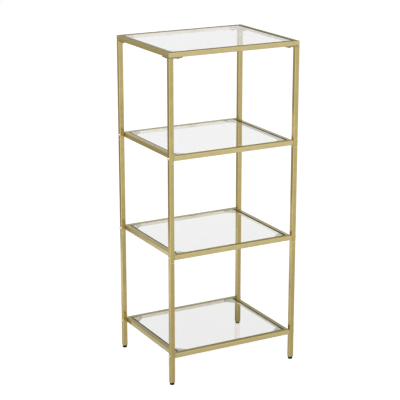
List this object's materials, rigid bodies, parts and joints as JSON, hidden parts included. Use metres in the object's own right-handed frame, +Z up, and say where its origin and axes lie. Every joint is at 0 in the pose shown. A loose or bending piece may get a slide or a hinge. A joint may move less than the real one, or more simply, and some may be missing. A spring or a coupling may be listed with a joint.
{
  "type": "bathroom shelf",
  "caption": "Tall free-standing etagere of square metal tube with inset clear glass shelves, sectional bolted legs and small black levelling feet.",
  "frame": {"origin": "on the floor under the middle of the shelf", "axes": "+X is the width, to the right seen from the front; -Y is the front; +Z is up"},
  "size_m": [0.4574, 0.36, 1.05],
  "materials": {
    "champagne_metal": "satin champagne-gold plated steel tube",
    "bright_fastener": "bright champagne-gold plated steel",
    "clear_glass": "clear polished tempered glass",
    "black_plastic": "matt black",
    "clear_silicone": "clear soft bumper"
  },
  "bodies": {
    "stand": {"frame_top": "champagne_metal", "frame_upper": "champagne_metal", "frame_middle": "champagne_metal", "frame_lower": "champagne_metal", "leg_upper_front_left": "champagne_metal", "leg_upper_front_right": "champagne_metal", "leg_upper_back_left": "champagne_metal", "leg_upper_back_right": "champagne_metal", "leg_middle_front_left": "champagne_metal", "leg_middle_front_right": "champagne_metal", "leg_middle_back_left": "champagne_metal", "leg_middle_back_right": "champagne_metal", "leg_lower_front_left": "champagne_metal", "leg_lower_front_right": "champagne_metal", "leg_lower_back_left": "champagne_metal", "leg_lower_back_right": "champagne_metal", "bolt_upper_front_left": "bright_fastener", "bolt_upper_front_right": "bright_fastener", "bolt_upper_back_left": "bright_fastener", "bolt_upper_back_right": "bright_fastener", "bolt_middle_front_left": "bright_fastener", "bolt_middle_front_right": "bright_fastener", "bolt_middle_back_left": "bright_fastener", "bolt_middle_back_right": "bright_fastener", "bolt_lower_front_left": "bright_fastener", "bolt_lower_front_right": "bright_fastener", "bolt_lower_back_left": "bright_fastener", "bolt_lower_back_right": "bright_fastener", "screw_width_front_left": "bright_fastener", "screw_width_front_right": "bright_fastener", "screw_width_back_left": "bright_fastener", "screw_width_back_right": "bright_fastener", "screw_depth_front_left": "bright_fastener", "screw_depth_front_right": "bright_fastener", "screw_depth_back_left": "bright_fastener", "screw_depth_back_right": "bright_fastener", "pad_top_front_left": "clear_silicone", "pad_top_front_right": "clear_silicone", "pad_top_back_left": "clear_silicone", "pad_top_back_right": "clear_silicone", "pad_upper_front_left": "clear_silicone", "pad_upper_front_right": "clear_silicone", "pad_upper_back_left": "clear_silicone", "pad_upper_back_right": "clear_silicone", "pad_middle_front_left": "clear_silicone", "pad_middle_front_right": "clear_silicone", "pad_middle_back_left": "clear_silicone", "pad_middle_back_right": "clear_silicone", "pad_lower_front_left": "clear_silicone", "pad_lower_front_right": "clear_silicone", "pad_lower_back_left": "clear_silicone", "pad_lower_back_right": "clear_silicone"},
    "panel_top": {"glass_top": "clear_glass"},
    "panel_upper": {"glass_upper": "clear_glass"},
    "panel_middle": {"glass_middle": "clear_glass"},
    "panel_lower": {"glass_lower": "clear_glass"},
    "leveller_front_left": {"foot_front_left": "black_plastic"},
    "leveller_front_right": {"foot_front_right": "black_plastic"},
    "leveller_back_left": {"foot_back_left": "black_plastic"},
    "leveller_back_right": {"foot_back_right": "black_plastic"}
  },
  "joints": [
    {"name": "lift_out_top", "type": "slide", "parent": "stand", "child": "panel_top", "axis": [0, 0, 1], "range_m": [0, 0.05]},
    {"name": "lift_out_upper", "type": "slide", "parent": "stand", "child": "panel_upper", "axis": [0, 0, 1], "range_m": [0, 0.05]},
    {"name": "lift_out_middle", "type": "slide", "parent": "stand", "child": "panel_middle", "axis": [0, 0, 1], "range_m": [0, 0.05]},
    {"name": "lift_out_lower", "type": "slide", "parent": "stand", "child": "panel_lower", "axis": [0, 0, 1], "range_m": [0, 0.05]},
    {"name": "level_front_left", "type": "hinge", "parent": "stand", "child": "leveller_front_left", "pos_m": [-0.2175, -0.1725, 0], "axis": [0, 0, 1], "range_deg": [0, 1800]},
    {"name": "level_front_right", "type": "hinge", "parent": "stand", "child": "leveller_front_right", "pos_m": [0.2175, -0.1725, 0], "axis": [0, 0, 1], "range_deg": [0, 1800]},
    {"name": "level_back_left", "type": "hinge", "parent": "stand", "child": "leveller_back_left", "pos_m": [-0.2175, 0.1725, 0], "axis": [0, 0, 1], "range_deg": [0, 1800]},
    {"name": "level_back_right", "type": "hinge", "parent": "stand", "child": "leveller_back_right", "pos_m": [0.2175, 0.1725, 0], "axis": [0, 0, 1], "range_deg": [0, 1800]}
  ]
}
